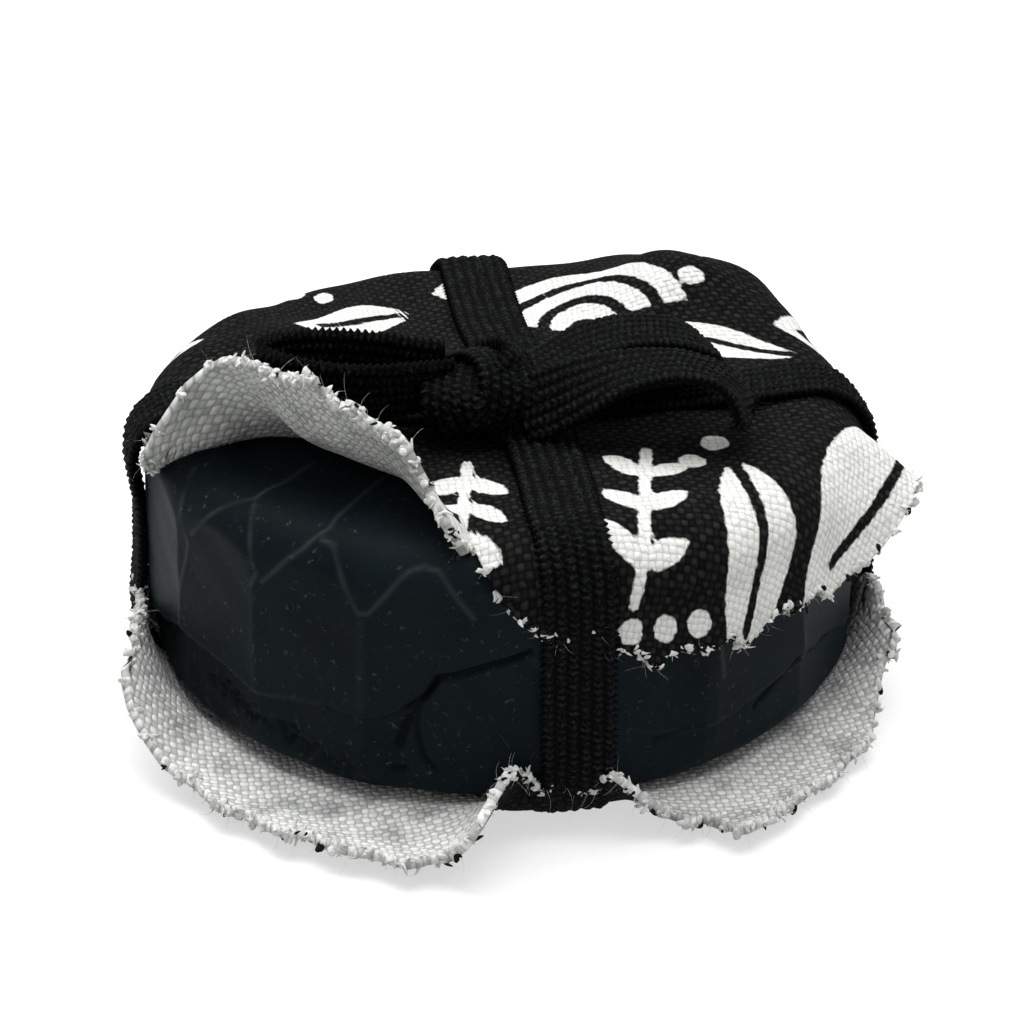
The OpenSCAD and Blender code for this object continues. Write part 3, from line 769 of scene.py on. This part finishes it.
# The weave is one group for both faces: each cell is a yarn of the warp or of the weft on top.
weave = bpy.data.node_groups.new("canvas_weave", "ShaderNodeTree")
weave.interface.new_socket("Flat", in_out="INPUT", socket_type="NodeSocketVector")
weave.interface.new_socket("Height", in_out="OUTPUT", socket_type="NodeSocketFloat")
weave.interface.new_socket("Yarn", in_out="OUTPUT", socket_type="NodeSocketFloat")
flat_in, flat_out = weave.nodes.new("NodeGroupInput").outputs["Flat"], weave.nodes.new("NodeGroupOutput")
wobble = noise(weave, flat_in, 60, 2, output="Color")
shift = add_node(weave, "VectorMath", {0: wobble, 1: (0.006, 0.006, 0), 2: flat_in}, operation="MULTIPLY_ADD")
axes = add_node(weave, "SeparateXYZ", {"Vector": shift.outputs["Vector"]}).outputs
cells, offsets = [], []
for axis in "XY":
    count = maths(weave, "MULTIPLY", axes[axis], 100 / WEAVE)
    cells.append(maths(weave, "FLOOR", count))
    offsets.append(maths(weave, "SUBTRACT", maths(weave, "FRACT", count), 0.5))
odd = maths(weave, "MODULO", maths(weave, "ABSOLUTE", maths(weave, "ADD", *cells)), 2)
even = maths(weave, "SUBTRACT", 1, odd)


def yarn_form(across, along, share):
    round_top = maths(weave, "SUBTRACT", 1, maths(weave, "MULTIPLY", maths(weave, "MULTIPLY", across, across), 2.8))
    arch = maths(weave, "COSINE", maths(weave, "MULTIPLY", along, 2.1))
    return maths(weave, "MULTIPLY", share, maths(weave, "MULTIPLY", round_top, arch))


warp = yarn_form(offsets[0], offsets[1], maths(weave, "MULTIPLY", even, 0.45))
over = maths(weave, "ADD", warp, yarn_form(offsets[1], offsets[0], odd))
cell = add_node(weave, "CombineXYZ", {"X": cells[0], "Y": cells[1]}).outputs["Vector"]
uneven = add_node(weave, "TexWhiteNoise", {"Vector": cell}).outputs["Value"]
over = maths(weave, "MULTIPLY", over, maths(weave, "MULTIPLY_ADD", uneven, 0.7, 0.62))
fibre = maths(weave, "MULTIPLY_ADD", noise(weave, flat_in, 900, 3), 0.35, over)
feed(weave, flat_out, {"Height": fibre, "Yarn": over})
COTTON = {"Roughness": 0.95, "Specular IOR Level": 0.06}


def canvas(name, printed):
    """One face of the cloth: undyed with rosin smudges, or printed black round off-white motifs; the gaps between
    yarns are painted darker as painted shade.
    """
    if printed:
        gap_to, painted_gap_shade, yarn_tone = 0.3, (0.44, 0.44, 0.42, 1), (0.88, 0.885, 0.85, 1)
        smudge_from, smudge_to, smudge_tone = 0.2, 1.2, (0.72, 0.72, 0.72, 1)
    else:
        gap_to, painted_gap_shade, yarn_tone = 0.62, (0.33, 0.335, 0.33, 1), (0.98, 0.985, 0.965, 1)
        smudge_from, smudge_to, smudge_tone = 0.47, 0.78, (0.4, 0.41, 0.41, 1)
    mat, tree, shader = material(name, COTTON)
    flat = add_node(tree, "UVMap", {}, uv_map="flat").outputs["UV"]
    woven = add_node(tree, "Group", {"Flat": flat}, node_tree=weave).outputs
    # The gaps between the yarns are painted darker than the yarn tops: painted shade.
    colour = mixed(tree, ranged(tree, woven["Yarn"], 0, gap_to), painted_gap_shade, yarn_tone)
    smudge = ranged(tree, noise(tree, flat, 28, 6), smudge_from, smudge_to)
    colour = mixed(tree, smudge, colour, smudge_tone, "MULTIPLY")
    if printed:
        ragged = maths(tree, "MULTIPLY_ADD", noise(tree, flat, 130, 2), 0.5, -0.25)
        inked = ranged(tree, maths(tree, "ADD", attribute(tree, "motif"), ragged), -0.08, 0.08)
        # In the black print too the gaps between the yarns are painted darker: painted shade.
        ink_gap_shade_mask = ranged(tree, woven["Yarn"], 0.1, 1.05)
        black = mixed(tree, ink_gap_shade_mask, (0.0012, 0.0012, 0.0012, 1), (0.021, 0.0215, 0.0208, 1))
        colour = mixed(tree, inked, colour, black)
    else:
        # Where the cloth lies on the top of the cake its inner face is painted grey: rosin dust, and painted shade
        # under the top.
        top_dust_and_shade = ranged(tree, attribute(tree, "along"), 1.2 * mid_s, 1.8 * mid_s)
        colour = mixed(tree, top_dust_and_shade, colour, (0.7, 0.71, 0.7, 1), "MULTIPLY")
    feed(tree, shader, {"Base Color": colour, "Normal": bumped(tree, woven["Height"], 0.6, 0.0003)})
    return mat


printed_mat, undyed_mat = canvas("printed_canvas", True), canvas("undyed_canvas", False)

# Each lower front corner of the strip is free of the elastic and lies out as a lobe. It is the
# same cloth: the lobe starts where the strip ends, in a straight cut 3 mm inside the fold line,
# under the cake, and it bends from the fold line on.
CUT_INSIDE, BEND_OVER, BASE_PART = 3, 4, 2
lobe_way = {name: Vector((side * math.sin(fold_turn), -math.cos(fold_turn), 0))
            for name, side in (("left", -1), ("right", 1))}


def select_base(test):
    """Select the faces of the strip's base that pass the test, and open the strip for editing."""
    along = np.zeros(len(cloth.data.vertices), np.float32)
    cloth.data.attributes["along"].data.foreach_get("value", along)
    for face in cloth.data.polygons:
        face.select = all(along[i] < BASE_PART for i in face.vertices) and test(face)
    bpy.ops.object.mode_set(mode="EDIT")


def clear_selection():
    bpy.ops.mesh.select_all(action="DESELECT")
    bpy.ops.object.mode_set(mode="OBJECT")


lobes = {}
for name, way in lobe_way.items():
    pick(cloth)
    bpy.ops.object.mode_set(mode="EDIT")
    clear_selection()
    start = way * (fold_dist - CUT_INSIDE) * MM
    select_base(lambda face: True)
    bpy.ops.mesh.select_mode(type="FACE")
    bpy.ops.mesh.bisect(plane_co=start, plane_no=way)
    clear_selection()
    before = set(bpy.data.objects)
    select_base(lambda face: (face.center - start).dot(way) > 0)
    bpy.ops.mesh.separate(type="SELECTED")
    bpy.ops.object.mode_set(mode="OBJECT")
    lobes[name] = (set(bpy.data.objects) - before).pop()
    lobes[name].name = f"canvas_{name}_lobe"

for piece in (cloth, lobes["left"], lobes["right"]):
    piece.data.materials.clear()
    piece.data.materials.append(printed_mat)
    piece.data.materials.append(undyed_mat)
    pick(piece)
    bpy.ops.object.shade_smooth()
    wall = piece.modifiers.new("thickness", "SOLIDIFY")
    wall.thickness = CLOTH_T * MM
    wall.offset = -1
    wall.material_offset = 1
    wall.material_offset_rim = 1
    bpy.ops.object.modifier_apply(modifier=wall.name)


def bend_with_lobe(piece):
    """Bake a piece's placement into its mesh; it is not attached to a lobe and does not bend."""
    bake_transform(piece)


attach(cloth, "parcel")
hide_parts("cloth_wrap")
for name, piece in lobes.items():
    bend_with_lobe(piece)
    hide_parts(f"front_{name}_lobe")

# The cut edges of the canvas are not hemmed: each yarn's end has opened into a small tuft of
# softer strands, and single fibres curl out of the tufts.
chance = np.random.default_rng(11)
FRONT_PITCH, SIDE_PITCH, ROOT_IN, TABLE_GAP = 0.66, 0.78, 0.35, 0.06
DYED_ABOVE, DYED_SHARE = 0.14, 0.3
# Strands of a tuft: how many, shortest and longest, radius, curl, sides, rings and spread.
TUFT = ((3, 0.05, 0.4, 0.34, 0.6, 7, 7, 0.8), (4, 0.05, 0.45, 0.2, 0.9, 4, 7, 1.0), (2, 0.3, 1.1, 0.016, 1.7, 3, 9, 1))


def strands(root, way, length, radius, curl, sides, rings):
    """Vertices, faces and strand numbers of many thin tapering strands."""
    n = len(root)
    bow = chance.normal(size=(n, 3))
    bow = unit(bow - way * (bow * way).sum(1)[:, None])
    third = np.cross(way, bow)
    t = (1 - (1 - np.linspace(0, 1, rings)) ** 1.6)[None, :, None]
    swing = 2.2 * t * chance.uniform(0.4, 1.2, (n, 1, 1))
    aside = curl * (bow[:, None] * t**2 + third[:, None] * 0.6 * t * np.sin(swing))
    line = root[:, None] + length[:, None, None] * (way[:, None] * (t - curl * 0.45 * t**2) + aside)
    ring = np.linspace(0, 2 * np.pi, sides, endpoint=False)
    taper = np.sqrt(1 - 0.97 * t[..., None] ** 4) * (1 - 0.2 * t[..., None])
    spread = (bow[:, None, None] * np.cos(ring)[None, None, :, None]
              + third[:, None, None] * np.sin(ring)[None, None, :, None])
    verts = (line[:, :, None] + radius[:, None, None, None] * taper * spread).reshape(-1, 3)
    i, j, k = np.meshgrid(np.arange(n), np.arange(rings - 1), np.arange(sides), indexing="ij")
    a, after = (i * rings + j) * sides, (k + 1) % sides
    faces = np.stack([a + k, a + after, a + sides + after, a + sides + k], -1).reshape(-1, 4).tolist()
    ends = (np.arange(n)[:, None] * rings + rings - 1) * sides + np.arange(sides)
    starts = np.arange(n)[:, None] * rings * sides + np.arange(sides)[::-1]
    return verts, faces + ends.tolist() + starts.tolist(), np.repeat(np.arange(n), rings * sides)


def fringe(name, u, v, du, dv):
    """Opened yarn ends at places on the strip's edge; du, dv is the way out of the cloth there."""
    out = facing(u, v)
    base = cloth_out(u, v) - out * CLOTH_T / 2
    way = unit(cloth_out(u + du * 0.5, v + dv * 0.5) - cloth_out(u - du * 0.5, v - dv * 0.5))
    along = np.cross(way, out)
    verts, faces, dyes, count = [], [], [], 0
    for per, shortest, longest, thick, curl, sides, rings, fan in TUFT:
        keep = np.repeat(np.arange(len(u)), per)
        n = len(keep)
        level = chance.uniform(-0.3, 0.3, n)
        beside = along[keep] * chance.uniform(-0.32, 0.32, n)[:, None]
        root = base[keep] - way[keep] * ROOT_IN + out[keep] * level[:, None] + beside
        fan_out = out[keep] * chance.normal(0, 0.8, n)[:, None]
        aim = unit(way[keep] + fan * (fan_out + along[keep] * chance.normal(0, 0.9, n)[:, None]))
        tuft = chance.uniform(0.45, 1.15, len(u))[keep]
        length = ROOT_IN + chance.uniform(shortest, longest, n) * tuft
        radius = thick * chance.uniform(0.7, 1.15, n)
        strand_verts, strand_faces, owner = strands(root, aim, length, radius, curl, sides, rings)
        strand_verts[:, 2] += np.clip(TABLE_GAP - strand_verts[:, 2], 0, None)
        verts.append(strand_verts)
        faces += [[i + count for i in face] for face in strand_faces]
        count += len(strand_verts)
        dyes.append(((level > DYED_ABOVE) & (chance.random(n) < DYED_SHARE))[owner])
    obj = new_mesh(name, np.vstack(verts), faces)
    set_values(obj, "dye", np.concatenate(dyes))
    obj.data.materials.append(loose_mat)
    return obj


loose_mat, tree, shader = material("loose_yarn", COTTON)
fluff = noise(tree, object_place(tree), 2600, 3)
fray_tone = mixed(tree, attribute(tree, "dye"), (0.76, 0.76, 0.73, 1), (0.012, 0.012, 0.012, 1))
feed(tree, shader, {"Base Color": fray_tone, "Normal": bumped(tree, fluff, 0.9, 0.00025)})
top_u = np.arange(-27.6, 31.8, FRONT_PITCH)
low_c = np.arange(-30.6, 30.7, FRONT_PITCH) / LOW_HALF
low_v = low_edge(low_c * LOW_HALF)
# Each run of the edge is its places across and along the strip, and the way out across and along.
runs = [(top_u, top_edge(top_u), top_u * 0, top_u * 0 + 1),
        (low_c * half_width(low_c, low_v), low_v, low_v * 0, low_v * 0 - 1)]
for side, top_half in ((-1, LEFT_TOP_HALF), (1, RIGHT_TOP_HALF)):
    lowest = -float(keyed(np.array([LOW_HALF * side]), lobe_keys, 1.2)[0])
    highest = 2 * mid_s + float(keyed(np.array([top_half * side]), edge_keys, 1.5)[0])
    side_v = np.arange(lowest + 0.4, highest, SIDE_PITCH)
    side_u = side * (half_width(side_v * 0 + side, side_v) + frayed(side_v, 9))
    runs.append((side_u, side_v, side_v * 0 + side, side_v * 0))
edge = np.stack([np.concatenate(x) for x in zip(*runs)])
in_lobe = (edge[1] < BASE_PART) & (past_fold(edge[0], edge[1]) > 0.3)
loose = {}
for name, chosen in (("wrap", ~in_lobe), ("left", in_lobe & (edge[0] < 0)), ("right", in_lobe & (edge[0] > 0))):
    loose[name] = fringe(f"loose_yarn_{name}", *edge[:, chosen])
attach(loose["wrap"], "parcel")
for name, area in (("left", 0.00044), ("right", 0.00034)):
    bend_with_lobe(loose[name])

# Lint from the cloth clings to the dusty rosin. It is loose cotton fibre, in single short
# curled lengths that lie on the cake's side and hold by the stickiness of the rosin.
n, lint_r, lint_thick, lint_off = 240, 27.25, 0.018, 0.03
lint_turn, lint_z = np.radians(chance.uniform(185, 348, n)), chance.uniform(4.5, 18, n)
lint_root = np.stack([lint_r * np.cos(lint_turn), lint_r * np.sin(lint_turn), lint_z], -1)
lint_way = np.stack([-np.sin(lint_turn), np.cos(lint_turn), chance.normal(0, 0.8, n)], -1)
lint_way = unit(lint_way * chance.choice([-1, 1], n)[:, None])
lint_len = chance.uniform(0.15, 0.9, n)
lint_verts, lint_faces, _ = strands(lint_root, lint_way, lint_len, np.full(n, lint_thick), 1.0, 3, 7)
lint_turn = np.arctan2(lint_verts[:, 1], lint_verts[:, 0])
side_r = np.full(len(lint_verts), cake_r)
for turn, cut in flats:
    side_r = np.minimum(side_r, (cake_r - cut) / np.clip(np.cos(lint_turn - math.radians(turn)), 0.5, 1))
lint_verts[:, :2] *= ((side_r + lint_off) / np.hypot(lint_verts[:, 0], lint_verts[:, 1]))[:, None]
lint = new_mesh("cake_lint", lint_verts, lint_faces)
lint_mat = material("lint_fibre", {"Base Color": (0.11, 0.12, 0.125, 1), "Roughness": 0.9})[0]
lint.data.materials.append(lint_mat)
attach(lint, "parcel")

# The right cut end of the elastic has come apart: its knitted loops have run and left short
# black threads of cotton and rubber that stand out of the end and move with it.
end_at, end_side = np.array(tail_points[-1]), np.array(tail_across[-1])
end_way = unit(end_at - np.array(tail_points[-2]))
end_side = unit(end_side - end_way * (end_side @ end_way))
n = 130
end_root = end_at - end_way * 0.5 + end_side * chance.uniform(-2.7, 2.7, n)[:, None]
end_root = end_root + np.cross(end_way, end_side) * chance.uniform(-0.3, 0.3, n)[:, None]
end_aim = unit(end_way + chance.normal(0, 0.45, (n, 3)))
end_len, end_thick = chance.uniform(0.6, 1.6, n), chance.choice([0.03, 0.09, 0.14], n)
thread_verts, thread_faces, _ = strands(end_root, end_aim, end_len, end_thick, 0.9, 4, 7)
tail_end = new_mesh("right_tail_threads", thread_verts, thread_faces)
tail_end.data.materials.append(elastic_mat)
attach(tail_end, "right_end")

# The parcel lies on a plain matt table, which the camera sees as white, directly or in a shiny
# or clear surface. Two large lamps and a pale room light the parcel softly from above.
TABLE_GLOW, ROOM_LIGHT = 0.6, 0.46
bpy.ops.mesh.primitive_plane_add(size=6, location=(0, 0, -0.0001))
table = bpy.context.object
table.name = "table"
table_mat, tree, shader = material("white_table", {"Base Color": (0.5, 0.5, 0.5, 1), "Roughness": 0.9,
                                                   "Specular IOR Level": 0, "Emission Color": (1, 1, 1, 1)})
rays = add_node(tree, "LightPath", {}).outputs
seen = maths(tree, "MAXIMUM", rays["Is Camera Ray"], rays["Is Glossy Ray"])
seen = maths(tree, "MAXIMUM", seen, rays["Is Transmission Ray"])
feed(tree, shader, {"Emission Strength": maths(tree, "MULTIPLY", seen, TABLE_GLOW)})
table.data.materials.append(table_mat)
room = bpy.data.worlds.new("soft_room")
bpy.context.scene.world = room
room.use_nodes = True
feed(room.node_tree, room.node_tree.nodes["Background"], {"Color": (1, 1, 1, 1), "Strength": ROOM_LIGHT})
lit_point = Vector((0, 0, 0.01))
for name, place, size, power in (("window", (-0.35, 0.42, 0.8), 0.6, 4.4), ("ceiling", (0.12, 0.05, 0.95), 0.8, 8)):
    bpy.ops.object.light_add(type="AREA", location=place)
    lamp = bpy.context.object
    lamp.name = name
    lamp.data.size = size
    lamp.data.energy = power
    lamp.rotation_euler = (lit_point - Vector(place)).to_track_quat("-Z", "Y").to_euler()
bpy.context.scene.view_settings.view_transform = "Standard"
